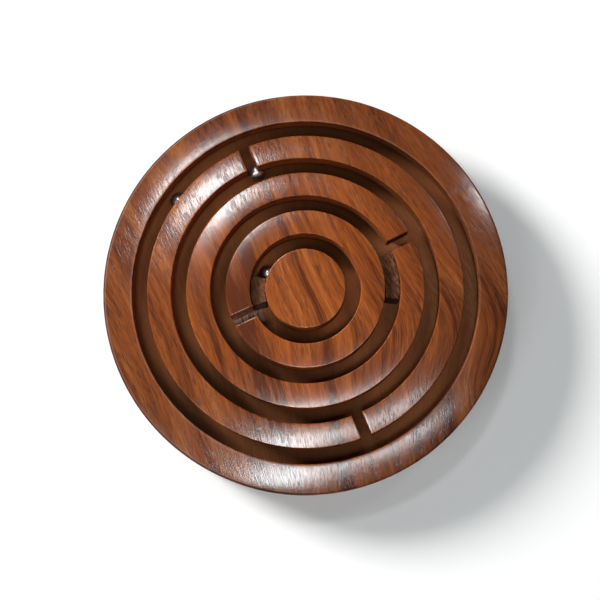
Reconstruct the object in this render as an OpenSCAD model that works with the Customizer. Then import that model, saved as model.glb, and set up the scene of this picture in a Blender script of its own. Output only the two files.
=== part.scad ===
// Round ball maze: three steel balls run in covered tracks under a domed wooden face.
// A face board is glued to a base board. Four ring slots cut the face into a rim, three walls and a disc.
// Each slot opens into a wider track, so the balls show through the slots and can't fall out.

/* [Face] */
// Width of the rim outside the outermost slot
rim_w = 8.7; // [6:0.05:14]
// Height of the face at its middle, above the table
apex_h = 22; // [19:0.5:32]
// How far the domed face drops from its middle to its outer edge
dome_sag = 4.3; // [2:0.1:6]
// Rounding of the rim's upper outer edge
rim_round = 1.2; // [0.5:0.1:4]
// Rounding of the upper edges along the slots
edge_round = 0.5; // [0.2:0.05:1]

/* [Base] */
// Thickness of the base board that the balls roll on
base_t = 8; // [5:0.5:10]
// Rounding of the base board's lower edge
foot_round = 4; // [1:0.1:4.5]

/* [Walls] */
// Diameter of the disc in the middle
centre_d = 23.5; // [18:0.5:32]
// Width of each wall at the face
wall_w = 7.1; // [5.5:0.1:10]
// Width of each slot at the face
slot_w = 4.5; // [3.5:0.1:5]
// Width of the gates that lead through the walls
gate_w = 3.3; // [3:0.1:4]
// Direction of the two opposite gates in the outer wall, in degrees from the right-hand side
outer_gate_angle = 111.4; // [100:0.1:130]
// How far the line through these two gates passes from the middle
gate_line_off = 0.45; // [0:0.05:1]
// Direction of the gate in the middle wall
middle_gate_angle = 25.6; // [15:0.1:40]
// Direction of the gate in the inner wall
inner_gate_angle = 203.1; // [195:0.1:220]

/* [Balls] */
// Diameter of a ball
ball_d = 5.5; // [5.4:0.1:6]
// Width that a track has beyond the ball
side_play = 2.7; // [1:0.1:3]
// Height that a track has above the ball
head_room = 0.7; // [0.4:0.1:1.5]
// Clearance between a ball and the wood beside it
ball_side_clear = 0.15; // [0.1:0.05:0.4]
// Clearance between a ball and the base board
ball_floor_clear = 0.1; // [0.05:0.05:0.3]
// Direction of the ball in the outer track
outer_ball_angle = 142.1; // [138:0.1:180]
// How far the ball in the gate has gone into the outer wall
gate_ball_in = 0.8; // [0:0.1:2.5]

/* [Stops] */
// Direction of the far end of the stop in the second track
middle_stop_angle = -7; // [-30:0.5:5]
// Direction of the end of the inner stop that a ball rests against
inner_stop_angle = 163.5; // [150:0.5:175]
// How far the top of a stop lies below the face
stop_recess = 2; // [0.5:0.1:3]
// Clearance of a stop in its slot
stop_fit = 0.05; // [0.02:0.01:0.1]

/* [Hidden] */
$fn = 180;
// Fineness of the wide dome arc
dome_fn = 1440;
// Fineness of a ball
ball_fn = 96;
// How far a cutting shape reaches past what it cuts
over = 1;
// Tracks and slots, counted from the middle
track_count = 4;
pitch = slot_w + wall_w;
body_r = centre_d / 2 + track_count * pitch - wall_w + rim_w;
dome_r = (body_r * body_r + dome_sag * dome_sag) / (2 * dome_sag);
dome_centre_z = apex_h - dome_r;
track_w = ball_d + side_play;
track_h = ball_d + head_room;
ceiling_z = base_t + track_h;
// Overhang of the face over a track, on each side of its slot
lip = (track_w - slot_w) / 2;
ball_z = base_t + ball_floor_clear + ball_d / 2;
// A ball lies against one side of its track
ball_offset = side_play / 2 - ball_side_clear;

// Inner and outer radius of a slot, and the middle of its track
function slot_in(n) = centre_d / 2 + (n - 1) * pitch;
function slot_out(n) = slot_in(n) + slot_w;
function track_r(n) = slot_in(n) + slot_w / 2;
// Angle that a half width takes at a distance from the middle
function half_angle(half, r) = asin(half / r);
// A point on the face seen from the dome's centre along the way to a point inside it
function onto_face(p, f) =
    [p.x * dome_r / (dome_r - f), dome_centre_z + (p.y - dome_centre_z) * dome_r / (dome_r - f)];

// Wood outside the rounding of an edge between the face and an upright side.
// outward is 1 where the wood lies nearer the middle than the side, and -1 where it lies further out.
module edge_waste(side_r, outward, f) {
    mid_r = side_r - outward * f;
    mid = [mid_r, dome_centre_z + sqrt(pow(dome_r - f, 2) - mid_r * mid_r)];
    top = onto_face(mid, f);
    far_top = mid + (top - mid) * (f + over) / f;
    difference() {
        polygon([
            mid,
            [side_r + outward * over, mid.y],
            [side_r + outward * over, far_top.y],
            far_top
        ]);
        translate(mid) circle(r = f);
    }
}

// Section of a band of the face board from one radius to another, down to a level
module face_band(r_in, r_out, z_low) {
    intersection() {
        translate([r_in, z_low]) square([r_out - r_in, apex_h - z_low + over]);
        translate([0, dome_centre_z]) circle(r = dome_r, $fn = dome_fn);
    }
}

// Section of a wall: a stem on the base board and a wider cap that overhangs the tracks beside it
module wall_section(r_in, r_out) {
    difference() {
        union() {
            face_band(r_in, r_out, ceiling_z);
            translate([r_in + lip, base_t]) square([r_out - r_in - 2 * lip, track_h]);
        }
        edge_waste(r_in, -1, edge_round);
        edge_waste(r_out, 1, edge_round);
    }
}

// Full ring of the wall outside slot n
module wall_ring(n) {
    rotate_extrude() wall_section(slot_out(n), slot_in(n + 1));
}

// Wall outside slot n with one way through it: a gate in its cap, and a tunnel as wide as a track in its stem
module gated_wall(n, angle) {
    start = slot_out(n) - over;
    length = wall_w + 2 * over;
    rotate([0, 0, angle]) difference() {
        wall_ring(n);
        translate([start, -gate_w / 2, ceiling_z - over]) cube([length, gate_w, apex_h]);
        translate([start, -track_w / 2, base_t - over]) cube([length, track_w, track_h + over]);
    }
}

// One half of the outer wall. side is 1 on the left of the line through its two gates, and -1 on the right.
module outer_wall_half(side) {
    reach = body_r + over;
    gate_edge = side * gate_line_off + gate_w / 2;
    tunnel_edge = side * gate_line_off + track_w / 2;
    rotate([0, 0, outer_gate_angle + (side > 0 ? 0 : 180)]) difference() {
        wall_ring(track_count - 1);
        translate([-reach, gate_edge - 2 * reach, 0]) cube([2 * reach, 2 * reach, apex_h + over]);
        translate([-reach, tunnel_edge - 2 * reach, base_t - over]) cube([2 * reach, 2 * reach, track_h + over]);
    }
}

// Strip that fills slot n from one direction to another, between the base board and just under the face
module stop_strip(n, from, to) {
    r_in = slot_in(n) + stop_fit;
    r_out = slot_out(n) - stop_fit;
    rotate([0, 0, from]) rotate_extrude(angle = to - from) intersection() {
        translate([r_in, base_t]) square([r_out - r_in, apex_h - base_t]);
        translate([0, dome_centre_z - stop_recess]) circle(r = dome_r, $fn = dome_fn);
    }
}

module ball_at(r, angle) {
    rotate([0, 0, angle]) translate([r, 0, ball_z]) sphere(d = ball_d, $fn = ball_fn);
}

// Lower board that carries the face and closes the tracks from below
module base_board() {
    color("saddlebrown") rotate_extrude() difference() {
        square([body_r, base_t]);
        difference() {
            translate([body_r - foot_round, -over]) square([foot_round + over, foot_round + over]);
            translate([body_r - foot_round, foot_round]) circle(r = foot_round);
        }
    }
}

// Outer ring of the face board, with the edge that the hands hold
module rim() {
    r_in = slot_out(track_count);
    color("sienna") rotate_extrude() difference() {
        union() {
            face_band(r_in, body_r, ceiling_z);
            face_band(r_in + lip, body_r, base_t);
        }
        edge_waste(r_in, -1, edge_round);
        edge_waste(body_r, 1, rim_round);
    }
}

module outer_wall_left() {
    color("sienna") outer_wall_half(1);
}

module outer_wall_right() {
    color("sienna") outer_wall_half(-1);
}

module middle_wall() {
    color("sienna") gated_wall(2, middle_gate_angle);
}

module inner_wall() {
    color("sienna") gated_wall(1, inner_gate_angle);
}

// Disc in the middle of the face, on a narrower stem
module centre_disc() {
    r = centre_d / 2;
    color("peru") rotate_extrude() difference() {
        union() {
            face_band(0, r, ceiling_z);
            translate([0, base_t]) square([r - lip, track_h]);
        }
        edge_waste(r, 1, edge_round);
    }
}

// Stop in the second track, flush with the side of the gate in the middle wall
module middle_stop() {
    near = middle_gate_angle - half_angle(gate_w / 2, track_r(2));
    color("maroon") stop_strip(2, middle_stop_angle, near);
}

// Stop in the innermost track, flush with the side of the gate in the inner wall
module inner_stop() {
    near = inner_gate_angle - half_angle(gate_w / 2, track_r(1));
    color("maroon") stop_strip(1, inner_stop_angle, near);
}

// Ball that runs round the outermost track, against its inner side
module outer_ball() {
    color("silver") ball_at(track_r(track_count) - ball_offset, outer_ball_angle);
}

// Ball on its way through the outer wall, against the right-hand side of the tunnel
module gate_ball() {
    along = slot_out(track_count - 1) + gate_ball_in;
    across = gate_line_off - ball_offset;
    color("silver") rotate([0, 0, outer_gate_angle]) translate([along, across, ball_z])
        sphere(d = ball_d, $fn = ball_fn);
}

// Ball that rests against the inner stop, at the end of the way
module inner_ball() {
    r = track_r(1) - ball_offset;
    color("silver") ball_at(r, inner_stop_angle - half_angle(ball_d / 2 + ball_side_clear, r));
}

base_board();
rim();
outer_wall_left();
outer_wall_right();
middle_wall();
inner_wall();
centre_disc();
middle_stop();
inner_stop();
outer_ball();
gate_ball();
inner_ball();
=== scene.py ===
"""Looks of a round wooden ball maze: turned rosewood rings, rough stops and bright steel balls.

Each wooden piece is rebuilt as a fine moulding that is bent round the axis, with the sizes of its solid.
"""

import logging
import math
from dataclasses import dataclass, field
from enum import Enum

import bmesh
import bpy
import numpy as np
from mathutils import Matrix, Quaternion, Vector


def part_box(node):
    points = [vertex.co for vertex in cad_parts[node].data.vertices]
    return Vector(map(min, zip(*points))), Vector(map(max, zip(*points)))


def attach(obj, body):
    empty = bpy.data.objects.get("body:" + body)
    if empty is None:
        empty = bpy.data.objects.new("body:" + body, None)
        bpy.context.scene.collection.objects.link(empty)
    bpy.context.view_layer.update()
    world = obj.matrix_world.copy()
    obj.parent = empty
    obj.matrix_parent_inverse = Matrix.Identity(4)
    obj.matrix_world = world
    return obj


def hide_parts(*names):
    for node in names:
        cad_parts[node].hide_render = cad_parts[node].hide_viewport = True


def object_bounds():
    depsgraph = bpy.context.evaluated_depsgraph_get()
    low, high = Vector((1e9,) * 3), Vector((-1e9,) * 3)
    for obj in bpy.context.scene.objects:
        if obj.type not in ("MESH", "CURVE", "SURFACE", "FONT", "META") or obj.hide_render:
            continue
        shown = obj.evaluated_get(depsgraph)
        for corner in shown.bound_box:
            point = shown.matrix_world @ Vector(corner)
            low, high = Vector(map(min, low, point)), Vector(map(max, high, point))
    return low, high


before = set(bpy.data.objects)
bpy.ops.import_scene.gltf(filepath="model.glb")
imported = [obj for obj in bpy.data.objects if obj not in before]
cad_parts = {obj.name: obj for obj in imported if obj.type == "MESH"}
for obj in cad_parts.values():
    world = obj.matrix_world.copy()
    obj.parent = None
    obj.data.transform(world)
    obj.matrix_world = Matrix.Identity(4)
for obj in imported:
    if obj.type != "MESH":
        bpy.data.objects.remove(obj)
CAD_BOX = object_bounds()

LOG = logging.getLogger("ball_maze")
MM = 0.001
# How far the looks stay below the top of the CAD box, and how close points are joined
SHY = 0.001 * MM
FULL_TURN = 360.0
HALF_TURN = 180.0
# Tint of the lamps that the wax mirrors
DAYLIGHT = (0.95, 1.04, 1.075)
# Direction of the inner wall's gate, in degrees
INNER_GATE = 203.1
# Places of the colours on Blender's mix node, where several sockets share a name
MIX_COLOURS = slice(6, 8)
MIX_RESULT = 2
Colour = tuple[float, float, float]
Point = tuple[float, float]
# Where a smooth rise from 0 to 1 starts and ends
Rise = tuple[float, float]
# Middle and width of a soft hill
Hill = tuple[float, float]


class Slot(Enum):
    """Material slots of the record that a piece takes its finish from."""

    ROSEWOOD = "rosewood"
    STOP_WOOD = "stop_wood"
    STEEL = "steel"


class Ends(Enum):
    """What happens where a bent moulding starts and ends."""

    JOINED = "a full turn whose ends meet"
    CUT = "two cut faces with rounded edges"


class Blend(Enum):
    """Ways in which one colour goes over another, by Blender's names."""

    COVER = "MIX"
    TINT = "MULTIPLY"


class Graph:
    """Short ways to add and join the nodes of one node tree."""

    def __init__(self, tree: bpy.types.NodeTree) -> None:
        """Keeps the tree that the nodes go into."""
        self.tree = tree

    @classmethod
    def for_material(cls, name: str) -> "tuple[Graph, bpy.types.Material, bpy.types.Node]":
        """Starts a material.

        Args:
            name: The material's name.

        Returns:
            The graph, the material and its surface shader.
        """
        material = bpy.data.materials.new(name)
        material.use_nodes = True
        shader = material.node_tree.nodes["Principled BSDF"]
        return cls(material.node_tree), material, shader

    def node(self, kind: str, **settings: object) -> bpy.types.Node:
        """Adds a node.

        Args:
            kind: Blender's name of the node type.
            settings: Properties of the node.

        Returns:
            The new node.
        """
        made = self.tree.nodes.new(kind)
        for name, value in settings.items():
            setattr(made, name, value)
        return made

    def feed(self, socket: bpy.types.NodeSocket, value: object) -> None:
        """Links a signal or an output to a socket, or sets the socket's own value.

        Args:
            socket: The socket.
            value: The signal, the output or the plain value.
        """
        if isinstance(value, Signal):
            value = value.socket
        if isinstance(value, bpy.types.NodeSocket):
            self.tree.links.new(value, socket)
        else:
            socket.default_value = value

    def math(self, operation: str, *values: object) -> "Signal":
        """Adds a sum of one kind.

        Args:
            operation: Blender's name of the operation.
            values: Signals or plain numbers.

        Returns:
            The result.
        """
        made = self.node("ShaderNodeMath", operation=operation)
        for socket, value in zip(made.inputs, values):
            self.feed(socket, value)
        return Signal(self, made.outputs[0])

    def point(self, x: object, y: object, z: object) -> bpy.types.NodeSocket:
        """Joins three signals or plain numbers into a vector.

        Args:
            x: The first.
            y: The second.
            z: The third.

        Returns:
            The vector.
        """
        made = self.node("ShaderNodeCombineXYZ")
        for socket, value in zip(made.inputs, (x, y, z)):
            self.feed(socket, value)
        return made.outputs[0]

    def parts(self, vector: bpy.types.NodeSocket) -> "tuple[Signal, Signal, Signal]":
        """Takes a vector apart.

        Args:
            vector: The vector.

        Returns:
            Its three numbers.
        """
        made = self.node("ShaderNodeSeparateXYZ")
        self.feed(made.inputs[0], vector)
        x, y, z = (Signal(self, output) for output in made.outputs)
        return x, y, z

    def scaled(self, vector: bpy.types.NodeSocket, factor: object) -> bpy.types.NodeSocket:
        """Makes a vector longer or shorter.

        Args:
            vector: The vector.
            factor: Signal, output or plain number that it is multiplied by.

        Returns:
            The new vector.
        """
        made = self.node("ShaderNodeVectorMath", operation="SCALE")
        self.feed(made.inputs[0], vector)
        self.feed(made.inputs["Scale"], factor)
        return made.outputs[0]

    def place(self) -> bpy.types.NodeSocket:
        """Gives a point's place on the object, in millimetres."""
        return self.scaled(self.node("ShaderNodeTexCoord").outputs["Object"], 1 / MM)

    def noise(self, vector: bpy.types.NodeSocket, scale: float, detail: float = 2.0) -> "Signal":
        """Adds soft noise.

        Args:
            vector: Where the noise is read.
            scale: How many bumps there are to a unit of the vector.
            detail: How many finer layers it has.

        Returns:
            The noise, from 0 to 1 about one half.
        """
        made = self.node("ShaderNodeTexNoise", noise_dimensions="3D")
        self.feed(made.inputs["Vector"], vector)
        self.feed(made.inputs["Scale"], scale)
        self.feed(made.inputs["Detail"], detail)
        return Signal(self, made.outputs[0])

    def ramp(self, factor: "Signal", stops: list[tuple[float, Colour]]) -> bpy.types.NodeSocket:
        """Turns a number into a colour.

        Args:
            factor: The number, from 0 to 1.
            stops: Places on the ramp with their colours, in rising order.

        Returns:
            The colour.
        """
        made = self.node("ShaderNodeValToRGB")
        elements = made.color_ramp.elements
        while len(elements) < len(stops):
            elements.new(1.0)
        for element, (position, colour) in zip(elements, stops):
            element.position = position
            element.color = (*colour, 1.0)
        self.feed(made.inputs[0], factor)
        return made.outputs[0]

    def mix(
        self, factor: object, first: object, second: object, blend: Blend = Blend.COVER
    ) -> bpy.types.NodeSocket:
        """Mixes two colours.

        Args:
            factor: How much of the second there is.
            first: The colour below, as an output or three numbers.
            second: The colour above, as an output or three numbers.
            blend: The way in which the second goes over the first.

        Returns:
            The mixed colour.
        """
        made = self.node("ShaderNodeMix", data_type="RGBA", blend_type=blend.value, clamp_factor=True)
        self.feed(made.inputs[0], factor)
        for socket, value in zip(made.inputs[MIX_COLOURS], (first, second)):
            self.feed(socket, (*value, 1.0) if isinstance(value, tuple) else value)
        return made.outputs[MIX_RESULT]

    def bump(self, height: "Signal", shader: bpy.types.Node) -> None:
        """Raises a shader's surface.

        Args:
            height: How far it is raised, in millimetres.
            shader: The shader.
        """
        made = self.node("ShaderNodeBump")
        self.feed(made.inputs["Distance"], MM)
        self.feed(made.inputs["Height"], height)
        self.feed(shader.inputs["Normal"], made.outputs[0])


@dataclass(frozen=True)
class Signal:
    """A number that flows through a node tree, with plain arithmetic."""

    graph: Graph
    socket: bpy.types.NodeSocket

    def __add__(self, other: object) -> "Signal":
        """Adds a signal or a number."""
        return self.graph.math("ADD", self, other)

    def __radd__(self, other: float) -> "Signal":
        """Adds to a number."""
        return self.graph.math("ADD", other, self)

    def __sub__(self, other: object) -> "Signal":
        """Takes a signal or a number away."""
        return self.graph.math("SUBTRACT", self, other)

    def __rsub__(self, other: float) -> "Signal":
        """Takes it away from a number."""
        return self.graph.math("SUBTRACT", other, self)

    def __mul__(self, other: object) -> "Signal":
        """Multiplies by a signal or a number."""
        return self.graph.math("MULTIPLY", self, other)

    def __rmul__(self, other: float) -> "Signal":
        """Multiplies a number."""
        return self.graph.math("MULTIPLY", other, self)

    def __truediv__(self, other: object) -> "Signal":
        """Divides by a signal or a number."""
        return self.graph.math("DIVIDE", self, other)

    def root(self) -> "Signal":
        """Gives the square root."""
        return self.graph.math("SQRT", self)

    def about_zero(self) -> "Signal":
        """Gives noise that swings about 0 instead of about one half."""
        return self - 0.5

    def at_least(self, least: float) -> "Signal":
        """Squeezes what runs from 0 to 1 so that it starts at the least value."""
        return least + self * (1.0 - least)

    def hill(self, middle: float, width: float) -> "Signal":
        """Gives 1 at the middle and falls off softly over the width on both sides."""
        off = (self - middle) / width
        return self.graph.math("EXPONENT", off * off * -1.0)

    def step(self, low: float, high: float) -> "Signal":
        """Makes a smooth rise from 0 to 1.

        Args:
            low: Where it starts.
            high: Where it ends.

        Returns:
            The rise.
        """
        made = self.graph.node("ShaderNodeMapRange", interpolation_type="SMOOTHSTEP")
        for socket, value in zip(made.inputs, (self, low, high, 0.0, 1.0)):
            self.graph.feed(socket, value)
        return Signal(self.graph, made.outputs[0])


@dataclass(frozen=True)
class Dome:
    """The ball-shaped face that all the rings were turned to."""

    radius: float
    centre_z: float

    @classmethod
    def from_frame(cls) -> "Dome":
        """Works the dome out from the disc's apex and the highest point of the middle wall.

        Returns:
            The dome.
        """
        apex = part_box("centre_disc")[1].z
        points = node_points("middle_wall")
        top = points[points[:, 2].argmax()]
        reach = float(np.hypot(top[0], top[1]))
        drop = apex - float(top[2])
        radius = (reach * reach + drop * drop) / (2 * drop)
        return cls(radius, apex - SHY - radius)

    def height(self, r: float) -> float:
        """Height of the face at a distance from the axis."""
        return self.centre_z + math.sqrt(self.radius**2 - r * r)


@dataclass(frozen=True)
class Crown:
    """Top of one ring, which falls off a little towards its edges below the dome that all the rings share."""

    dome: Dome
    middle: float
    half: float
    drop: float = 0.0
    shoulder: float = 0.0

    def height(self, r: float) -> float:
        """Height of the top at a distance from the axis."""
        off = (r - self.middle) / self.half
        return self.dome.height(r) - self.drop * off**2 - self.shoulder * max(off, 0.0) ** 4

    def slope(self, r: float) -> float:
        """How steeply the top falls away from the axis."""
        near = 0.01 * MM
        return (self.height(r - near) - self.height(r + near)) / (2 * near)


def node_points(node: str) -> np.ndarray:
    """Lists the corner points of a CAD node.

    Args:
        node: Name of the node.

    Returns:
        Rows of x, y and z, in metres.
    """
    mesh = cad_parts[node].data
    flat = np.zeros(len(mesh.vertices) * 3, np.float32)
    mesh.vertices.foreach_get("co", flat)
    return flat.reshape(-1, 3).astype(float)


@dataclass(frozen=True)
class Span:
    """Radii and heights of one turned CAD node, in metres."""

    r_in: float
    r_out: float
    stem_in: float
    stem_out: float
    z_low: float
    ceiling: float

    @classmethod
    def of(cls, node: str) -> "Span":
        """Measures a node.

        Args:
            node: Name of the CAD node.

        Returns:
            Its radii at the face and at the foot, its lowest height and the height of its overhang.
        """
        near = 0.02 * MM
        points = node_points(node)
        r = np.hypot(points[:, 0], points[:, 1])
        z = points[:, 2]
        foot = r[z < z.min() + near]
        edge = r.max() if r.min() < near else r.min()
        ceiling = z[abs(r - edge) < near].min()
        return cls(*(float(v) for v in (r.min(), r.max(), foot.min(), foot.max(), z.min(), ceiling)))


@dataclass
class Outline:
    """Section of a turned piece.

    A point is a radius and a height. Its draw is the direction from which it is drawn in at a rounded end.
    """

    closed: bool = True
    edge_steps: int = 6
    edge_rounds: int = 8
    face_shares: tuple[float, ...] = (0.03, 0.1, 0.2, 0.3, 0.4, 0.5, 0.6, 0.7, 0.8, 0.87, 0.93, 0.98)
    points: list[Point] = field(default_factory=list)
    draws: list[Point] = field(default_factory=list)
    in_stem: list[bool] = field(default_factory=list)

    def add(self, r: float, z: float, draw: Point = (0.0, 0.0), in_stem: bool = False) -> None:
        """Adds a point.

        Args:
            r: Distance from the axis.
            z: Height.
            draw: Direction from which the point is drawn in at a rounded end.
            in_stem: Whether the point is on the stem below the overhang.
        """
        self.points.append((r, z))
        self.draws.append(draw)
        self.in_stem.append(in_stem)

    def arc(
        self, centre: Point, radius: float, start: float, end: float, steps: int, flat: bool = False
    ) -> None:
        """Adds a rounded edge.

        Args:
            centre: Centre of the rounding.
            radius: Radius of the rounding.
            start: First direction, in degrees.
            end: Last direction, in degrees.
            steps: How many straight steps it has.
            flat: Whether the points are drawn in sideways only.
        """
        side = math.copysign(1.0, math.cos(math.radians(start + end) / 2))
        for turn in np.radians(np.linspace(start, end, steps + 1)):
            out = (math.cos(turn), math.sin(turn))
            self.add(centre[0] + radius * out[0], centre[1] + radius * out[1], (side, 0.0) if flat else out)

    def face(self, top: Crown, inner: Point, outer: Point) -> None:
        """Adds the top between two roundings.

        Args:
            top: The crowned top.
            inner: Side radius and rounding of the inner edge. A rounding of 0 starts the top on the axis.
            outer: Side radius and rounding of the outer edge.
        """
        r_from = 0.0
        if inner[1] > 0:
            middle, meet = self._edge_centre(top, inner[0] + inner[1], inner[1])
            self.arc(middle, inner[1], HALF_TURN, meet, self.edge_steps)
            r_from = middle[0] + inner[1] * math.cos(math.radians(meet))
        middle, meet = self._edge_centre(top, outer[0] - outer[1], outer[1])
        r_to = middle[0] + outer[1] * math.cos(math.radians(meet))
        for share in self.face_shares:
            r = r_from + (r_to - r_from) * share
            fall = math.atan(top.slope(r))
            self.add(r, top.height(r), (math.sin(fall), math.cos(fall)))
        self.arc(middle, outer[1], meet, 0.0, self.edge_steps)

    def _edge_centre(self, top: Crown, r: float, rounding: float) -> tuple[Point, float]:
        """Closes in on the centre of a rounding under a top.

        Args:
            top: The crowned top.
            r: The centre's distance from the axis.
            rounding: Radius of the rounding.

        Returns:
            The centre, and the direction in which the rounding meets the top, in degrees.
        """
        turn = math.pi / 2
        for _ in range(self.edge_rounds):
            meet = r + rounding * math.cos(turn)
            turn = math.pi / 2 - math.atan(top.slope(meet))
        return (r, top.height(meet) - rounding * math.sin(turn)), math.degrees(turn)


class RingBender:
    """Node tree that bends a straight moulding round the Z axis.

    The moulding lies along X from 0 to 1, with its radius along Y. Each cut end is a plane beside the middle
    of its gate, at a distance that the moulding's end_offset attribute gives for each point.
    """

    torn_detail: float = 3.0
    torn_rise: Rise = (0.35, 0.75)

    def __init__(self) -> None:
        """Builds the tree."""
        self.tree = bpy.data.node_groups.new("bend round the axis", "GeometryNodeTree")
        face = self.tree.interface
        face.new_socket("Moulding", in_out="INPUT", socket_type="NodeSocketGeometry")
        for name in ("Start angle", "Sweep", "Torn depth", "Torn scale"):
            face.new_socket(name, in_out="INPUT", socket_type="NodeSocketFloat")
        face.new_socket("Finish", in_out="INPUT", socket_type="NodeSocketMaterial")
        face.new_socket("Ring", in_out="OUTPUT", socket_type="NodeSocketGeometry")
        graph = Graph(self.tree)
        given = graph.node("NodeGroupInput").outputs
        bent = self._bend(graph, given)
        torn = self._tear(graph, given, bent)
        real = graph.node("GeometryNodeRealizeInstances")
        dressed = graph.node("GeometryNodeSetMaterial")
        graph.feed(real.inputs["Geometry"], torn)
        graph.feed(dressed.inputs["Geometry"], real.outputs[0])
        graph.feed(dressed.inputs["Material"], given["Finish"])
        graph.feed(graph.node("NodeGroupOutput").inputs[0], dressed.outputs[0])
        self.sockets = {i.name: i.identifier for i in face.items_tree if i.in_out == "INPUT"}

    @staticmethod
    def _bend(graph: Graph, given: bpy.types.NodeInputs) -> bpy.types.NodeSocket:
        """Lays the moulding round the axis and joins what meets.

        Args:
            graph: The tree's graph.
            given: The tree's inputs.

        Returns:
            The bent geometry.
        """
        along, r, z = graph.parts(graph.node("GeometryNodeInputPosition").outputs[0])
        offset = graph.node("GeometryNodeInputNamedAttribute", data_type="FLOAT")
        graph.feed(offset.inputs["Name"], "end_offset")
        start, sweep = Signal(graph, given["Start angle"]), Signal(graph, given["Sweep"])
        cut = graph.math("ARCSINE", Signal(graph, offset.outputs[0]) / r)
        angle = start + cut + along * (sweep - 2.0 * cut)
        moved = graph.node("GeometryNodeSetPosition")
        graph.feed(moved.inputs["Geometry"], given["Moulding"])
        round_x, round_y = graph.math("COSINE", angle) * r, graph.math("SINE", angle) * r
        graph.feed(moved.inputs["Position"], graph.point(round_x, round_y, z))
        joined = graph.node("GeometryNodeMergeByDistance")
        graph.feed(joined.inputs["Geometry"], moved.outputs[0])
        graph.feed(joined.inputs["Distance"], SHY)
        return joined.outputs[0]

    def _tear(
        self, graph: Graph, given: bpy.types.NodeInputs, bent: bpy.types.NodeSocket
    ) -> bpy.types.NodeSocket:
        """Sinks the surface here and there, as torn grain does.

        Args:
            graph: The tree's graph.
            given: The tree's inputs.
            bent: The bent geometry.

        Returns:
            The torn geometry.
        """
        place = graph.scaled(graph.node("GeometryNodeInputPosition").outputs[0], given["Torn scale"])
        torn = graph.noise(place, 1.0, self.torn_detail).step(*self.torn_rise)
        sunk = torn * -1.0 * Signal(graph, given["Torn depth"])
        moved = graph.node("GeometryNodeSetPosition")
        graph.feed(moved.inputs["Geometry"], bent)
        outward = graph.node("GeometryNodeInputNormal").outputs[0]
        graph.feed(moved.inputs["Offset"], graph.scaled(outward, sunk))
        return moved.outputs[0]

    def bend(self, piece: bpy.types.Object, values: dict[str, object]) -> None:
        """Bends an object and leaves it as a plain mesh.

        Args:
            piece: Object whose mesh is the straight moulding.
            values: Values of the tree's inputs by name.
        """
        modifier = piece.modifiers.new("bend", "NODES")
        modifier.node_group = self.tree
        for name, value in values.items():
            modifier[self.sockets[name]] = value
        graph = bpy.context.evaluated_depsgraph_get()
        straight, bent = piece.data, bpy.data.meshes.new_from_object(piece.evaluated_get(graph))
        piece.modifiers.clear()
        piece.data = bent
        bent.name = piece.name
        bpy.data.meshes.remove(straight)


@dataclass
class Moulding:
    """A section that runs round the axis, all the way or from one gate to the next."""

    name: str
    outline: Outline
    segments: int
    ends: Ends = Ends.JOINED
    start: float = 0.0
    sweep: float = FULL_TURN
    cap_half: float = 0.0
    stem_half: float = 0.0
    end_round: float = 0.0
    torn_depth: float = 0.0
    torn_scale: float = 500.0
    sharp_angle: float = 32.0
    end_steps: int = 4

    def rows(self) -> list[tuple[float, float, float]]:
        """Lists the sections along the moulding.

        Returns:
            For each, how far along it is from 0 to 1, its setback from the cut, and how much it is drawn in.
        """
        if self.ends is Ends.JOINED:
            return [(share, 0.0, 0.0) for share in np.linspace(0, 1, self.segments + 1)]
        turns = np.radians(np.linspace(0, 90, self.end_steps + 1))
        rounded = [(self.end_round * (1 - math.cos(t)), self.end_round * (1 - math.sin(t))) for t in turns]
        middle = [(share, self.end_round, 0.0) for share in np.linspace(0, 1, self.segments + 1)[1:-1]]
        return [(0.0, *r) for r in rounded] + middle + [(1.0, *r) for r in reversed(rounded)]

    def straight(self) -> bpy.types.Mesh:
        """Makes the straight moulding.

        Returns:
            Its mesh, with the end_offset attribute.
        """
        points, offsets, faces = [], [], []
        rows, size = self.rows(), len(self.outline.points)
        section = list(zip(self.outline.points, self.outline.draws, self.outline.in_stem))
        for along, setback, inset in rows:
            for (r, z), (dr, dz), in_stem in section:
                points.append((along, r - inset * dr, z - inset * dz))
                offsets.append((self.stem_half if in_stem else self.cap_half) + setback)
        steps = size if self.outline.closed else size - 1
        for first in range(0, (len(rows) - 1) * size, size):
            for k in range(steps):
                a, b = first + k, first + (k + 1) % size
                faces.append((a, b, b + size, a + size))
        if self.ends is Ends.CUT:
            faces += self.end_faces(0) + self.end_faces((len(rows) - 1) * size)
        mesh = bpy.data.meshes.new(self.name)
        mesh.from_pydata(points, [], faces)
        mesh.attributes.new("end_offset", "FLOAT", "POINT").data.foreach_set("value", offsets)
        return mesh

    def end_faces(self, first: int) -> list[tuple[int, ...]]:
        """Closes one cut end.

        Args:
            first: Index of the first point of the end's section.

        Returns:
            The faces of the cap, of the stem and of the overhang between them.
        """
        cap = [first + k for k, stem in enumerate(self.outline.in_stem) if not stem]
        stem = [first + k for k, stem in enumerate(self.outline.in_stem) if stem]
        if not stem:
            return [tuple(cap)]
        return [tuple(cap), tuple(stem), (cap[-1], stem[0], stem[-1], cap[0])]

    def build(self, bender: RingBender, finish: bpy.types.Material) -> bpy.types.Object:
        """Makes the bent piece.

        Args:
            bender: The tree that bends it.
            finish: Its material.

        Returns:
            The piece, at the origin.
        """
        piece = bpy.data.objects.new(self.name, self.straight())
        bpy.context.scene.collection.objects.link(piece)
        bender.bend(piece, {
            "Start angle": math.radians(self.start),
            "Sweep": math.radians(self.sweep),
            "Torn depth": self.torn_depth,
            "Torn scale": self.torn_scale,
            "Finish": finish,
        })
        shape = bmesh.new()
        shape.from_mesh(piece.data)
        bmesh.ops.recalc_face_normals(shape, faces=shape.faces)
        shape.to_mesh(piece.data)
        shape.free()
        piece.data.shade_smooth()
        piece.data.set_sharp_from_angle(angle=math.radians(self.sharp_angle))
        return piece


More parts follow.
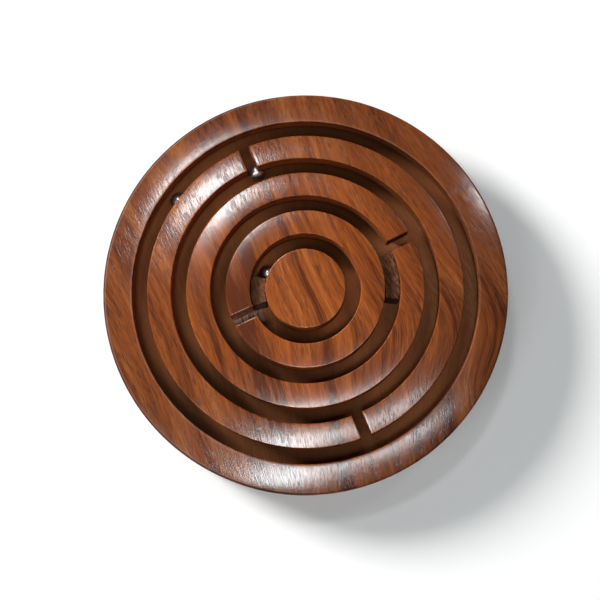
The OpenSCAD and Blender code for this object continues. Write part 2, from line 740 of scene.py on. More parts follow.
@dataclass(frozen=True)
class Fleck:
    """Noise that is stretched along the grain: its sizes in millimetres and how many finer layers it has."""

    across: float
    along: float
    through: float
    detail: float

    def read(self, across: Signal, along: Signal, through: Signal) -> Signal:
        """Reads the noise at a place in the grain.

        Args:
            across: How far across the grain the place is.
            along: How far along it.
            through: How high in the wood.

        Returns:
            The noise.
        """
        graph = across.graph
        place = graph.point(across / self.across, along / self.along, through / self.through)
        return graph.noise(place, 1.0, self.detail)


@dataclass(frozen=True)
class Spot:
    """Where a point of the wood lies, in millimetres, and whether that is inside the rim and on a floor."""

    place: bpy.types.NodeSocket
    x: Signal
    y: Signal
    z: Signal
    r: Signal
    depth: Signal
    inside: Signal
    on_floor: Signal

    def below(self, depths: Rise) -> Signal:
        """Tells whether the point lies inside the rim and below the face, from 0 to 1."""
        return self.depth.step(*depths) * self.inside


@dataclass(frozen=True)
class Side:
    """One side of the face: its direction, and how far off that it starts and is full, in degrees."""

    direction: float
    start: float
    full: float

    def share(self, spot: Spot) -> Signal:
        """Tells how much a point belongs to the side.

        Args:
            spot: Where the point lies.

        Returns:
            Its share, from 0 to 1.
        """
        turn, start, full = (math.radians(angle) for angle in (self.direction, self.start, self.full))
        towards = (spot.x * math.cos(turn) + spot.y * math.sin(turn)) / spot.r
        return towards.step(math.cos(start), math.cos(full))


@dataclass(frozen=True)
class Tracks:
    """The ring tracks under the dome, which tell where the wood changes its looks.

    Apart from the dome, which is in metres like all shapes, sizes are in millimetres like all finishes.
    """

    dome: Dome
    first_r: float
    last_r: float
    pitch: float
    rim_edge: float = 0.3
    above_foot: Rise = (1.0, 3.0)
    floor_depth: Rise = (4.5, 7.5)

    @classmethod
    def from_frame(cls, dome: Dome) -> "Tracks":
        """Measures the tracks to a thousandth of a millimetre.

        Args:
            dome: The face's dome.

        Returns:
            The tracks.
        """
        pitch = Span.of("middle_wall").r_out - Span.of("inner_wall").r_out
        sizes = (Span.of("centre_disc").stem_out, Span.of("rim").stem_in, pitch)
        return cls(dome, *(round(size / MM, 3) for size in sizes))

    def spot(self, graph: Graph) -> Spot:
        """Finds where a point of the wood lies.

        Args:
            graph: The material's graph.

        Returns:
            The point's place.
        """
        place = graph.place()
        x, y, z = graph.parts(place)
        r = (x * x + y * y).root()
        dome_r, dome_z = self.dome.radius / MM, self.dome.centre_z / MM
        depth = (dome_r * dome_r - r * r).root() + dome_z - z
        inside = (1.0 - r.step(self.last_r, self.last_r + self.rim_edge)) * z.step(*self.above_foot)
        return Spot(place, x, y, z, r, depth, inside, depth.step(*self.floor_depth) * inside)


@dataclass(frozen=True)
class Grain:
    """How the grain runs: it leans by some degrees, fans out, swirls at the lower right and wanders."""

    lean: float = 14.0
    shift: float = 0.0
    fan: float = 0.0043
    swirl: float = 0.55
    swirl_x: Rise = (-20.0, 40.0)
    swirl_y: Rise = (-30.0, 0.0)
    wander: float = 8.0
    wander_size: float = 38.0
    ripple: float = 2.2
    ripples: Fleck = Fleck(9.0, 45.0, 9.0, 2.0)

    def find(self, spot: Spot) -> tuple[Signal, Signal, Signal]:
        """Finds a point's place in the grain, in millimetres.

        Args:
            spot: Where the point lies.

        Returns:
            How far across the wandering grain it is, how far along it, and how far across its straight run.
        """
        x, y = spot.x, spot.y
        lean = math.radians(self.lean)
        swirl = x.step(*self.swirl_x) * y * y.step(*self.swirl_y) * self.swirl
        straight = x * math.cos(lean) + y * (math.sin(lean) - x * self.fan) + swirl
        along = y * math.cos(lean) - x * math.sin(lean)
        wander = x.graph.noise(spot.place, 1.0 / self.wander_size, detail=1.0).about_zero() * self.wander
        ripple = self.ripples.read(straight, along, spot.z).about_zero() * self.ripple
        return straight + wander + ripple + self.shift, along, straight


@dataclass(frozen=True)
class Marks:
    """The wood's figure at one point: its tone from dark to light, hairs, pores, and how ragged it tears."""

    tone: Signal
    hairs: Signal
    pores: Signal
    ragged: Signal


@dataclass(frozen=True)
class Figure:
    """What grew in the wood (streaks, lines, hairs, crowds of pores, a dark heart line, a vein and a patch)
    and painted shade at the right.

    A part is how much a mark counts in the tone, and a least is what is left of it where pores are few.
    """

    grain: Grain = Grain()
    middle: float = 0.5
    streaks: Fleck = Fleck(7.0, 150.0, 20.0, 1.5)
    streak_part: float = 0.8
    lines: Fleck = Fleck(1.4, 75.0, 1.4, 2.0)
    line_part: float = 0.7
    calm_rise: Rise = (0.0, 25.0)
    calm_part: float = 0.4
    hairs: Fleck = Fleck(0.36, 6.0, 0.36, 1.0)
    hair_part: float = 0.45
    crowds: Fleck = Fleck(5.0, 22.0, 5.0, 1.0)
    crowd_rise: Rise = (0.3, 0.62)
    pores: Fleck = Fleck(0.36, 3.2, 0.36, 0.0)
    pore_rise: Rise = (0.55, 0.65)
    pore_least: float = 0.3
    heart: Hill = (0.6, 1.7)
    heart_breaks: Fleck = Fleck(0.6, 26.0, 1.0, 2.0)
    heart_rise: Rise = (0.25, 0.6)
    heart_part: float = 0.34
    vein: Hill = (-19.5, 4.0)
    vein_end: Rise = (6.0, 22.0)
    vein_least: float = 0.4
    vein_part: float = 0.30
    patch_x: Hill = (-19.0, 6.0)
    patch_y: Hill = (1.0, 13.0)
    patch_least: float = 0.5
    patch_part: float = 0.46
    # Painted shade towards the right
    right_x: Rise = (8.0, 40.0)
    painted_right_shade: float = 0.06
    ring_r: Hill = (26.0, 9.0)
    ring_part: float = 0.07
    rags: Fleck = Fleck(0.55, 3.0, 1.5, 3.0)

    def read(self, spot: Spot) -> Marks:
        """Reads the figure at a point.

        Args:
            spot: Where the point lies.

        Returns:
            The marks there.
        """
        x, y, z = spot.x, spot.y, spot.z
        across, along, fine = self.grain.find(spot)
        hairs = self.hairs.read(fine, along, z)
        crowd = self.crowds.read(across, along, z).step(*self.crowd_rise)
        pores = self.pores.read(fine, along, z).step(*self.pore_rise) * crowd.at_least(self.pore_least)
        calm = x.step(*self.calm_rise) * y.step(*self.calm_rise) * self.calm_part
        streaks = self.streaks.read(across, along, z).about_zero() * (self.streak_part - calm)
        lines = self.lines.read(across, along, z).about_zero() * (self.line_part - calm)
        tone = self.middle + streaks + lines + hairs.about_zero() * self.hair_part
        heart = across.hill(*self.heart) * self.heart_breaks.read(across, along, z).step(*self.heart_rise)
        vein = across.hill(*self.vein) * (1.0 - along.step(*self.vein_end)) * crowd.at_least(self.vein_least)
        patch = x.hill(*self.patch_x) * y.hill(*self.patch_y) * crowd.at_least(self.patch_least) * spot.inside
        tone = tone - heart * self.heart_part - vein * self.vein_part - patch * self.patch_part
        # Painted shade towards the right, and a darker band of tone over the middle rings
        tone = tone - x.step(*self.right_x) * self.painted_right_shade - spot.r.hill(*self.ring_r) * self.ring_part
        return Marks(tone, hairs, pores, self.rags.read(across, along, z))


@dataclass(frozen=True)
class PaintedFloorShades:
    """Painted light and shade that the wood of the track floors is multiplied by, from side to side of the
    face.
    """

    plain: Colour = (1.20, 1.30, 1.50)
    lit_inner: Colour = (2.10, 2.35, 2.80)
    low: Colour = (0.60, 0.67, 0.80)
    lit_share: Rise = (0.10, 0.50)
    left_side: Side = Side(189.8, 63.2, 18.1)
    near: Colour = (0.40, 0.41, 0.43)
    near_side: Side = Side(255.0, 60.1, 15.0)
    upper_left: Colour = (1.25, 1.35, 1.55)
    upper_left_side: Side = Side(151.9, 59.9, 25.6)
    far: Colour = (0.42, 0.42, 0.44)
    far_side: Side = Side(75.0, 56.8, 12.6)

    def read(self, spot: Spot, tracks: Tracks) -> bpy.types.NodeSocket:
        """Reads the painted light and shade at a point.

        Args:
            spot: Where the point lies.
            tracks: The tracks.

        Returns:
            The shade.
        """
        # All painted light and shade: on the left each floor is lit at its inner edge and shaded at its outer
        # edge, with shade towards the bottom, light at the upper left, shade at the top and light elsewhere
        graph = spot.r.graph
        share = graph.math("FRACT", (spot.r - tracks.first_r) / tracks.pitch)
        left = graph.mix(share.step(*self.lit_share), self.lit_inner, self.low)
        shade = graph.mix(self.left_side.share(spot), self.plain, left)
        shade = graph.mix(self.near_side.share(spot), shade, self.near, Blend.TINT)
        shade = graph.mix(self.upper_left_side.share(spot), shade, self.upper_left)
        return graph.mix(self.far_side.share(spot), shade, self.far)


@dataclass(frozen=True)
class Tears:
    """Torn fibres, partly painted light: lighter ones in the tracks at the right, and pale ones along the
    inner gate.
    """

    torn_fibre_and_light: Colour = (0.420, 0.172, 0.086)
    fibre_rise: Rise = (0.42, 0.62)
    fibre_depth: Rise = (0.2, 0.9)
    all_over: float = 0.0
    right_x: Rise = (18.0, 30.0)
    right_y: Hill = (1.0, 16.0)
    on_walls: float = 0.3
    more_on_floors: float = 0.6
    pale: Colour = (0.360, 0.195, 0.135)
    pale_floor: Colour = (0.880, 0.560, 0.420)
    pale_rise: Rise = (0.36, 0.58)
    gate: float = INNER_GATE
    gate_side: Rise = (1.7, 2.1)
    gate_start: Rise = (11.0, 18.0)
    gate_end: Rise = (22.2, 23.4)

    def over(self, wood: bpy.types.NodeSocket, spot: Spot, ragged: Signal) -> bpy.types.NodeSocket:
        """Lays torn fibres over the wood, partly painted light at the right and along the gate.

        Args:
            wood: The wood's colour.
            spot: Where the point lies.
            ragged: How ragged the wood tears there.

        Returns:
            The colour with the fibres.
        """
        graph = ragged.graph
        # Fibres at the right: torn grain, and painted light on the floors and walls there
        on_right = spot.x.step(*self.right_x) * spot.y.hill(*self.right_y)
        on_right = on_right * (self.on_walls + spot.on_floor * self.more_on_floors)
        fibres = ragged.step(*self.fibre_rise) * spot.below(self.fibre_depth)
        wood = graph.mix(fibres * graph.math("MAXIMUM", on_right, self.all_over), wood, self.torn_fibre_and_light)
        # Pale fibres along the gate: torn grain, and painted light in the gate's shaded walls and floor
        pale = graph.mix(spot.on_floor, self.pale, self.pale_floor)
        return graph.mix(self.at_gate(spot) * ragged.step(*self.pale_rise) * spot.inside, wood, pale)

    def at_gate(self, spot: Spot) -> Signal:
        """Tells whether a point lies along the gate of the inner wall.

        Args:
            spot: Where the point lies.

        Returns:
            How much it does, from 0 to 1.
        """
        turn = math.radians(self.gate)
        out = spot.x * math.cos(turn) + spot.y * math.sin(turn)
        off = spot.y * math.cos(turn) - spot.x * math.sin(turn)
        beside = (off * off).root().step(*self.gate_side)
        return (1.0 - beside) * out.step(*self.gate_start) * (1.0 - out.step(*self.gate_end))


@dataclass(frozen=True)
class RosewoodFinish:
    """Waxed rosewood with one solid grain that runs on from ring to ring, open pores and a satin surface."""

    name: str
    figure: Figure = Figure()
    painted_floor_shades: PaintedFloorShades = PaintedFloorShades()
    tears: Tears = Tears()
    dark: Colour = (0.105, 0.022, 0.005)
    middle: Colour = (0.300, 0.071, 0.013)
    light: Colour = (0.460, 0.134, 0.027)
    tones: tuple[float, float, float] = (0.2, 0.5, 0.8)
    # Dark colour of the open pores, also used as painted shade on the right-hand track walls
    pore_and_wall_shade: Colour = (0.045, 0.010, 0.003)
    pore_part: float = 0.55
    rim_shade: Colour = (0.57, 0.60, 0.82)
    rim_r: Rise = (18.0, 62.0)
    # Even dull brown of the cut tracks: the cut wood's own colour, made lighter as painted light in the
    # recesses
    track: Colour = (0.380, 0.125, 0.042)
    track_part: float = 0.65
    track_depth: Rise = (0.5, 2.5)
    right_wall_shade_part: float = 0.7
    right_wall_shade_depth: Rise = (0.1, 0.4)
    right_wall_shade_x: Rise = (5.0, 35.0)
    # Painted shade on the left part of the rim's outer edge, which hides a reflection of the key lamp there
    painted_edge_shade: Colour = (0.050, 0.018, 0.009)
    painted_edge_shade_part: float = 0.7
    painted_edge_shade_r: Rise = (58.8, 59.4)
    painted_edge_shade_x: Rise = (-20.0, 10.0)
    shine: float = 0.8
    gloss: float = 0.15
    hair_rough: float = 0.08
    pore_rough: float = 0.08
    cut_depth: Rise = (0.05, 0.14)
    cut_rough: float = 0.7
    painted_edge_rough: float = 0.85
    hair_height: float = 0.018
    pore_sink: float = 0.006
    torn_height: float = 0.1
    grain_depth: float = 1.0

    def material(self, tracks: Tracks) -> bpy.types.Material:
        """Makes the material.

        Args:
            tracks: The tracks, in which the wood looks different from the face.

        Returns:
            The material.
        """
        graph, material, shader = Graph.for_material(self.name)
        spot = tracks.spot(graph)
        marks = self.figure.read(spot)
        in_track = spot.below(self.track_depth)
        # The tracks' even brown, partly painted light
        wood = graph.mix(in_track * self.track_part, self.face_colour(spot, marks), self.track)
        # Painted shade on the track walls towards the right, in the dark colour of the pores
        shaded_right_wall = spot.below(self.right_wall_shade_depth) * (1.0 - spot.on_floor) * spot.x.step(*self.right_wall_shade_x)
        wood = graph.mix(shaded_right_wall * self.right_wall_shade_part, wood, self.pore_and_wall_shade)
        # Painted light and shade on the track floors, by side of the face
        wood = graph.mix(spot.on_floor, wood, self.painted_floor_shades.read(spot, tracks), Blend.TINT)
        wood = self.tears.over(wood, spot, marks.ragged)
        # Painted shade on the left part of the rim's outer edge, where the wax is also made rougher
        painted_edge_shade = spot.r.step(*self.painted_edge_shade_r) * (1.0 - spot.x.step(*self.painted_edge_shade_x))
        graph.feed(shader.inputs["Base Color"], graph.mix(painted_edge_shade * self.painted_edge_shade_part, wood, self.painted_edge_shade))
        rough = self.gloss + marks.hairs.about_zero() * self.hair_rough + marks.pores * self.pore_rough
        rough = rough + spot.below(self.cut_depth) * self.cut_rough + painted_edge_shade * self.painted_edge_rough
        graph.feed(shader.inputs["Roughness"], rough)
        shader.inputs["Specular IOR Level"].default_value = self.shine
        height = marks.hairs.about_zero() * self.hair_height - marks.pores * self.pore_sink
        height = height + marks.ragged.about_zero() * in_track * self.torn_height
        graph.bump(height * self.grain_depth, shader)
        return material

    def face_colour(self, spot: Spot, marks: Marks) -> bpy.types.NodeSocket:
        """Gives the wood's colour on the face, which darkens towards the rim.

        Args:
            spot: Where a point lies.
            marks: The wood's figure there.

        Returns:
            The colour.
        """
        graph = marks.tone.graph
        colour = graph.ramp(marks.tone, list(zip(self.tones, (self.dark, self.middle, self.light))))
        colour = graph.mix(marks.pores * self.pore_part, colour, self.pore_and_wall_shade)
        return graph.mix(spot.r.step(*self.rim_r), colour, self.rim_shade, Blend.TINT)


# Finishes of the face, of its cut sides, of the base board and of the stops
WOODS = (
    RosewoodFinish("rosewood_face"),
    RosewoodFinish("rosewood_side", shine=0.05),
    RosewoodFinish("rosewood_base", Figure(Grain(lean=10.0, shift=23.0)), shine=0.05),
    RosewoodFinish(
        "rosewood_stop",
        Figure(Grain(shift=-31.0)),
        tears=Tears(torn_fibre_and_light=(0.180, 0.076, 0.040), all_over=0.85),
        dark=(0.050, 0.016, 0.007),
        middle=(0.135, 0.049, 0.021),
        light=(0.250, 0.105, 0.052),
        track=(0.130, 0.047, 0.020),
        shine=0.2,
        gloss=0.80,
        grain_depth=2.0,
    ),
)


@dataclass(frozen=True)
class SteelFinish:
    """Polished ball-bearing steel with faint scuffs and dents from rolling."""

    name: str = "ball_steel"
    tone: Colour = (0.88, 0.88, 0.89)
    scuffed: Colour = (0.76, 0.76, 0.77)
    gloss: float = 0.30
    scuff_scale: float = 1.6
    scuff_detail: float = 4.0
    scuff_rise: Rise = (0.52, 0.68)
    scuff_rough: float = 0.12
    dent_scale: float = 5.0
    dent_detail: float = 3.0
    dent_height: float = 0.002

    def material(self) -> bpy.types.Material:
        """Makes the material.

        Returns:
            The material.
        """
        graph, material, shader = Graph.for_material(self.name)
        place = graph.place()
        scuffs = graph.noise(place, self.scuff_scale, self.scuff_detail).step(*self.scuff_rise)
        graph.feed(shader.inputs["Base Color"], graph.mix(scuffs, self.tone, self.scuffed))
        graph.feed(shader.inputs["Roughness"], self.gloss + scuffs * self.scuff_rough)
        shader.inputs["Metallic"].default_value = 1.0
        graph.bump(graph.noise(place, self.dent_scale, self.dent_detail) * self.dent_height, shader)
        return material


@dataclass(frozen=True)
class FloorFinish:
    """Plain pale paper that the maze lies on."""

    name: str = "floor_paper"
    tone: Colour = (0.875, 0.86, 0.85)
    mottle_size: float = 60.0
    mottle_shade: float = 0.985
    rough: float = 0.9
    shine: float = 0.1
    lift: float = 0.06

    def material(self) -> bpy.types.Material:
        """Makes the material.

        Returns:
            The material.
        """
        graph, material, shader = Graph.for_material(self.name)
        mottle = graph.noise(graph.place(), 1.0 / self.mottle_size)
        shade = tuple(v * self.mottle_shade for v in self.tone)
        graph.feed(shader.inputs["Base Color"], graph.mix(mottle, self.tone, shade))
        shader.inputs["Roughness"].default_value = self.rough
        shader.inputs["Specular IOR Level"].default_value = self.shine
        path = graph.node("ShaderNodeLightPath")
        seen = Signal(graph, path.outputs["Is Camera Ray"])
        for ray in ("Is Glossy Ray", "Is Transmission Ray"):
            seen = seen + Signal(graph, path.outputs[ray])
        graph.feed(shader.inputs["Emission Color"], (1.0, 1.0, 1.0, 1.0))
        graph.feed(shader.inputs["Emission Strength"], seen * self.lift)
        return material


@dataclass
class Piece:
    """One piece of the maze with its place in the frame."""

    shape: bpy.types.Object
    node: str
    body: str
    slot: Slot

    def settle(self) -> None:
        """Puts the piece in the place of its CAD node and reports it."""
        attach(self.shape, self.body)
        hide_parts(self.node)
        LOG.info("%s stands for %s, %d faces", self.shape.name, self.node, len(self.shape.data.polygons))


@dataclass
class FaceBoard:
    """The domed face: a rim, two outer half walls, a middle wall, an inner wall and a disc."""

    dome: Dome
    bender: RingBender
    finish: bpy.types.Material
    side_finish: bpy.types.Material
    edge_round: float = 0.25 * MM
    rim_round: float = 0.7 * MM
    lip_round: float = 0.2 * MM
    lip_steps: int = 4
    seam: float = 0.15 * MM
    end_round: float = 0.15 * MM
    bulge: float = 4.9
    shoulder: float = 0.03 * MM
    disc_drop: float = 0.06 * MM
    gate_half: float = 1.65 * MM
    tunnel_half: float = 4.1 * MM
    outer_gate: float = 111.4
    outer_gate_off: float = 0.45 * MM
    middle_gate: float = 25.6
    inner_gate: float = INNER_GATE
    step: float = 0.9 * MM
    waxed_edge: float = 0.012 * MM

    def build(self) -> list[Piece]:
        """Builds and dresses all pieces of the face.

        Returns:
            The pieces, from the rim inwards.
        """
        walls = [
            ("outer_wall_left", self.outer_gate, HALF_TURN, self.outer_gate_off),
            ("outer_wall_right", self.outer_gate + HALF_TURN, HALF_TURN, -self.outer_gate_off),
            ("middle_wall", self.middle_gate, FULL_TURN, 0.0),
            ("inner_wall", self.inner_gate, FULL_TURN, 0.0),
        ]
        return [self.rim()] + [self.wall(*wall) for wall in walls] + [self.disc()]

    def segments(self, r: float, sweep: float) -> int:
        """Number of steps that a moulding takes along its way, a multiple of four."""
        return 4 * math.ceil(math.radians(sweep) * r / self.step / 4)

    def crown(self, r_in: float, r_out: float, shoulder: float = 0.0) -> Crown:
        """Top of a ring between two radii, with the same bulge on all rings."""
        half = (r_out - r_in) / 2
        return Crown(self.dome, r_in + half, half, self.bulge * half * half, shoulder)

    def lip(self, outline: Outline, r: float, ceiling: float, outward: float) -> None:
        """Adds the lower edge of an overhang.

        Args:
            outline: The section that gets it.
            r: Radius of the overhang's side.
            ceiling: Height of the overhang's underside.
            outward: 1 where the side faces away from the axis, and -1 where it faces the axis.
        """
        centre = (r - outward * self.lip_round, ceiling + self.lip_round)
        turns = (0.0, -90.0) if outward > 0 else (270.0, HALF_TURN)
        outline.arc(centre, self.lip_round, *turns, self.lip_steps, flat=True)

    def rim(self) -> Piece:
        """Builds the outer ring, with a fine glue seam at its foot.

        Returns:
            The piece.
        """
        span = Span.of("rim")
        half_width = min(CAD_BOX[1].x, CAD_BOX[1].y, -CAD_BOX[0].x, -CAD_BOX[0].y)
        outline = Outline()
        self.lip(outline, span.r_in, span.ceiling, -1.0)
        top = self.crown(span.r_in, half_width, self.shoulder)
        outline.face(top, (span.r_in, self.edge_round), (half_width, self.rim_round))
        outline.add(half_width, span.z_low + self.seam)
        outline.add(half_width - self.seam, span.z_low)
        outline.add(span.stem_in, span.z_low)
        outline.add(span.stem_in, span.ceiling)
        made = Moulding("rim_wood", outline, self.segments(half_width, FULL_TURN))
        return self.dressed(made, "rim", top)

    def wall(self, node: str, gate: float, sweep: float, off: float) -> Piece:
        """Builds a ring wall from one gate to the next.

        Args:
            node: Name of the CAD node that it stands for.
            gate: Direction of the gate where it starts, in degrees.
            sweep: Angle to the gate where it ends.
            off: How much further than half a gate its ends lie from the line through the axis.

        Returns:
            The piece.
        """
        span = Span.of(node)
        outline = Outline()
        self.lip(outline, span.r_in, span.ceiling, -1.0)
        top = self.crown(span.r_in, span.r_out)
        outline.face(top, (span.r_in, self.edge_round), (span.r_out, self.edge_round))
        self.lip(outline, span.r_out, span.ceiling, 1.0)
        outline.add(span.stem_out, span.ceiling, in_stem=True)
        outline.add(span.stem_out, span.z_low, in_stem=True)
        outline.add(span.stem_in, span.z_low, in_stem=True)
        outline.add(span.stem_in, span.ceiling, in_stem=True)
        made = Moulding(
            f"{node}_wood", outline, self.segments(span.r_out, sweep), Ends.CUT, gate, sweep,
            self.gate_half + off, self.tunnel_half + off, self.end_round,
        )
        return self.dressed(made, node, top)

    def disc(self) -> Piece:
        """Builds the disc in the middle on its narrower stem, with steps half as long as the rings have.

        Returns:
            The piece.
        """
        span = Span.of("centre_disc")
        outline = Outline(closed=False)
        top = Crown(self.dome, 0.0, span.r_out, self.disc_drop)
        outline.add(0.0, top.height(0.0))
        outline.face(top, (0.0, 0.0), (span.r_out, self.edge_round))
        self.lip(outline, span.r_out, span.ceiling, 1.0)
        outline.add(span.stem_out, span.ceiling)
        outline.add(span.stem_out, span.z_low)
        outline.add(0.0, span.z_low)
        made = Moulding("centre_disc_wood", outline, self.segments(span.r_out, 2 * FULL_TURN))
        return self.dressed(made, "centre_disc", top)

    def dressed(self, moulding: Moulding, node: str, top: Crown) -> Piece:
        """Makes a moulding into a piece whose top is waxed and whose cut sides are dull.

        Args:
            moulding: The moulding.
            node: Name of the CAD node that it stands for.
            top: The moulding's top.

        Returns:
            The piece.
        """
        shape = moulding.build(self.bender, self.finish)
        shape.data.materials.append(self.side_finish)
        for face in shape.data.polygons:
            r = math.hypot(face.center.x, face.center.y)
            face.material_index = int(top.height(r) - face.center.z > self.waxed_edge)
        return Piece(shape, node, "maze", Slot.ROSEWOOD)


@dataclass
class BaseBoard:
    """The lower board, with a rounded foot and a fine glue seam along its top edge."""

    bender: RingBender
    finish: bpy.types.Material
    foot_round: float = 4.0 * MM
    foot_steps: int = 12
    flat_share: float = 0.8
    flat_steps: int = 4
    seam: float = 0.15 * MM
    segments: int = 420

    def build(self) -> list[Piece]:
        """Builds and dresses the board.

        Returns:
            The board as the only piece.
        """
        low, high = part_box("base_board")
        half_width = min(high.x, high.y, -low.x, -low.y)
        flat_radii = half_width * np.linspace(0.0, self.flat_share, self.flat_steps + 1)
        outline = Outline(closed=False)
        for r in flat_radii:
            outline.add(r, high.z)
        outline.add(half_width - self.seam, high.z)
        outline.add(half_width, high.z - self.seam)
        centre = (half_width - self.foot_round, low.z + self.foot_round)
        outline.arc(centre, self.foot_round, 0.0, -90.0, self.foot_steps)
        for r in reversed(flat_radii):
            outline.add(r, low.z)
        made = Moulding("base_board_wood", outline, self.segments)
        return [Piece(made.build(self.bender, self.finish), "base_board", "maze", Slot.ROSEWOOD)]


@dataclass
class Stops:
    """Two rough strips that fill a track beside a gate."""

    dome: Dome
    bender: RingBender
    finish: bpy.types.Material
    recess: float = 2.0 * MM
    corner: float = 0.25 * MM
    torn_depth: float = 0.35 * MM
    torn_scale: float = 700.0
    side_rows: int = 8
    segments: int = 60

    def build(self) -> list[Piece]:
        """Builds and dresses both strips.

        Returns:
            The strips.
        """
        return [self.strip("middle_stop"), self.strip("inner_stop")]

    def strip(self, node: str) -> Piece:
        """Builds one strip.

        Args:
            node: Name of the CAD node that it stands for.

        Returns:
            The piece.
        """
        span = Span.of(node)
        points = node_points(node)
        turns = np.degrees(np.arctan2(points[:, 1], points[:, 0]))
        middle = math.degrees(math.atan2(points[:, 1].mean(), points[:, 0].mean()))
        off = (turns - middle + HALF_TURN) % FULL_TURN - HALF_TURN
        lowered = Dome(self.dome.radius, self.dome.centre_z - self.recess)
        outline = Outline()
        for z in np.linspace(span.z_low, lowered.height(span.r_in) - self.corner, self.side_rows)[:-1]:
            outline.add(span.r_in, z, (-1.0, 0.0))
        half = (span.r_out - span.r_in) / 2
        top = Crown(lowered, span.r_in + half, half)
        outline.face(top, (span.r_in, self.corner), (span.r_out, self.corner))
        for z in np.linspace(lowered.height(span.r_out) - self.corner, span.z_low, self.side_rows)[1:]:
            outline.add(span.r_out, z, (1.0, 0.0))
        start, sweep = middle + float(off.min()), float(off.max() - off.min())
        made = Moulding(
            f"{node}_wood", outline, self.segments, Ends.CUT, start, sweep, end_round=self.corner,
            torn_depth=self.torn_depth, torn_scale=self.torn_scale,
        )
        return Piece(made.build(self.bender, self.finish), node, "maze", Slot.STOP_WOOD)


@dataclass
class Balls:
    """Three steel balls, each a sphere that is blown up from a cube so that it has no poles."""

    finish: bpy.types.Material
    cuts: int = 5

    def build(self) -> list[Piece]:
        """Builds and dresses the balls.

        Returns:
            The balls.
        """
        return [self.ball(node) for node in ("outer_ball", "gate_ball", "inner_ball")]

    def ball(self, node: str) -> Piece:
        """Builds one ball where its CAD node lies.

        Args:
            node: Name of the CAD node, which is also its body.

        Returns:
            The piece.
        """
        low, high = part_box(node)
        centre, radius = (low + high) / 2, (high.z - low.z) / 2
        shape = bmesh.new()
        bmesh.ops.create_cube(shape, size=2.0)
        for _ in range(self.cuts):
            bmesh.ops.subdivide_edges(shape, edges=shape.edges, cuts=1, use_grid_fill=True)
        for corner in shape.verts:
            bulge = [math.tan(v * math.pi / 4) for v in corner.co]
            corner.co = Vector(bulge).normalized() * radius + centre
        mesh = bpy.data.meshes.new(f"{node}_steel")
        shape.to_mesh(mesh)
        shape.free()
        mesh.materials.append(self.finish)
        mesh.shade_smooth()
        piece = bpy.data.objects.new(f"{node}_steel", mesh)
        bpy.context.scene.collection.objects.link(piece)
        return Piece(piece, node, node, Slot.STEEL)


@dataclass(frozen=True)
class Lamp:
    """One soft lamp: where it hangs as seen from the maze, how wide it is and how bright."""

    name: str
    direction: tuple[float, float, float]
    distance: float
    width: float
    depth: float
    power: float
    roll: float = 0.0
    tint: Colour = (1.0, 1.0, 1.0)

    def hang(self, target: Vector) -> None:
        """Hangs the lamp and aims it.

        Args:
            target: Point that it shines at.
        """
        light = bpy.data.lights.new(self.name, "AREA")
        light.shape = "ELLIPSE"
        light.size, light.size_y = self.width, self.depth
        light.energy = self.power
        light.color = self.tint
        lamp = bpy.data.objects.new(self.name, light)
        away = Vector(self.direction).normalized()
        lamp.location = target + away * self.distance
        rolled = Quaternion((0.0, 0.0, 1.0), math.radians(self.roll))
        lamp.rotation_euler = (away.to_track_quat("Z", "Y") @ rolled).to_euler()
        bpy.context.scene.collection.objects.link(lamp)


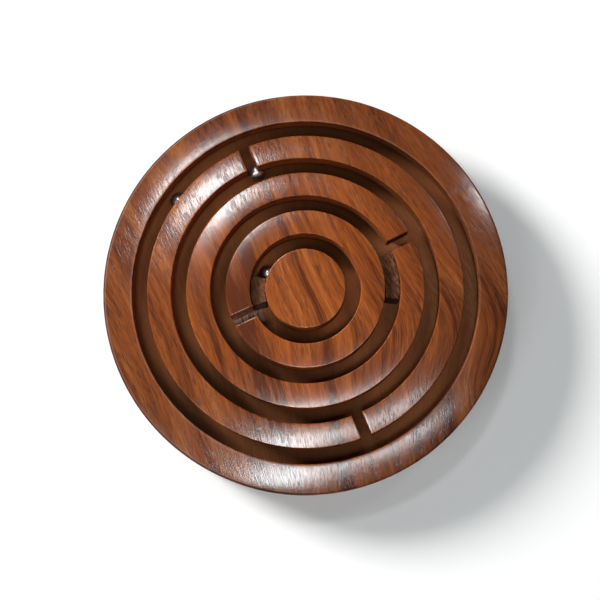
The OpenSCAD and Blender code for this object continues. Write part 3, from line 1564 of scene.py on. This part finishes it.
@dataclass
class Studio:
    """Pale floor that curves up far away, soft lamps, a dim surround and the camera."""

    bender: RingBender
    apex: Vector
    lamps: tuple[Lamp, ...] = (
        Lamp("window_lamp", (-0.193, 0.374, 0.907), 1.8, 0.34, 0.20, 3.6, tint=DAYLIGHT),
        Lamp("ceiling_lamp", (-0.047, -0.244, 0.969), 1.8, 0.44, 0.18, 4.4, 63.0, DAYLIGHT),
        Lamp("strip_lamp", (0.180, -0.150, 0.972), 1.8, 0.46, 0.12, 1.7, -33.0, DAYLIGHT),
        Lamp("side_lamp", (0.465, 0.395, 0.792), 1.5, 0.11, 0.16, 0.9, tint=DAYLIGHT),
        Lamp("key_lamp", (-0.765, 0.442, 0.469), 1.8, 0.60, 0.60, 52.0),
        Lamp("fill_lamp", (-0.472, -0.396, 0.788), 1.8, 0.70, 0.70, 4.0),
    )
    surround: float = 0.03
    floor_gap: float = 0.2 * MM
    floor_radii: tuple[float, ...] = (0.0, 0.05, 0.2, 0.5, 1.0, 1.6)
    floor_curve: float = 0.8
    curve_steps: int = 12
    floor_segments: int = 96
    eye: tuple[float, float, float] = (-0.0016, -0.0652, 0.4166)
    lens: float = 82.26
    sensor: float = 36.0
    near_clip: float = 0.01
    frame_pixels: float = 600.0
    apex_pixel: Point = (305.52, 287.91)

    def build(self) -> None:
        """Sets up the floor, the light and the camera."""
        self.lay_floor()
        for lamp in self.lamps:
            lamp.hang(self.apex)
            LOG.info("%s hangs", lamp.name)
        world = bpy.data.worlds.new("surround")
        world.use_nodes = True
        shade = world.node_tree.nodes["Background"]
        shade.inputs["Color"].default_value = (1.0, 1.0, 1.0, 1.0)
        shade.inputs["Strength"].default_value = self.surround
        bpy.context.scene.world = world
        bpy.context.scene.view_settings.view_transform = "Standard"
        self.set_camera()

    def lay_floor(self) -> None:
        """Lays the floor, which isn't part of the maze."""
        outline = Outline(closed=False)
        for r in self.floor_radii:
            outline.add(r, -self.floor_gap)
        centre = (self.floor_radii[-1], self.floor_curve - self.floor_gap)
        outline.arc(centre, self.floor_curve, 270.0, FULL_TURN, self.curve_steps)
        floor = Moulding("floor", outline, self.floor_segments).build(self.bender, FloorFinish().material())

    def set_camera(self) -> None:
        """Sets the camera where the photograph was taken from, turned so that the apex shows in its place."""
        data = bpy.data.cameras.new("eye")
        data.lens = self.lens
        data.sensor_width = self.sensor
        data.clip_start = self.near_clip
        camera = bpy.data.objects.new("eye", data)
        camera.location = self.eye
        focus = self.lens / self.sensor * self.frame_pixels
        half = self.frame_pixels / 2
        shown = Vector((self.apex_pixel[0] - half, half - self.apex_pixel[1], -focus))
        aimed = (self.apex - camera.location).to_track_quat("-Z", "Y")
        camera.rotation_euler = (aimed @ shown.rotation_difference(Vector((0.0, 0.0, -1.0)))).to_euler()
        bpy.context.scene.collection.objects.link(camera)
        bpy.context.scene.camera = camera


def main() -> None:
    """Builds the maze from its base up, then the studio round it."""
    logging.basicConfig(level=logging.INFO, format="%(name)s: %(message)s")
    dome = Dome.from_frame()
    bender = RingBender()
    tracks = Tracks.from_frame(dome)
    face_wood, side_wood, base_wood, stop_wood = (finish.material(tracks) for finish in WOODS)
    steel = SteelFinish().material()
    assemblies = [
        BaseBoard(bender, base_wood),
        FaceBoard(dome, bender, face_wood, side_wood),
        Stops(dome, bender, stop_wood),
        Balls(steel),
    ]
    for assembly in assemblies:
        for piece in assembly.build():
            piece.settle()
    Studio(bender, Vector((0.0, 0.0, dome.height(0.0)))).build()


if __name__ == "__main__":
    main()
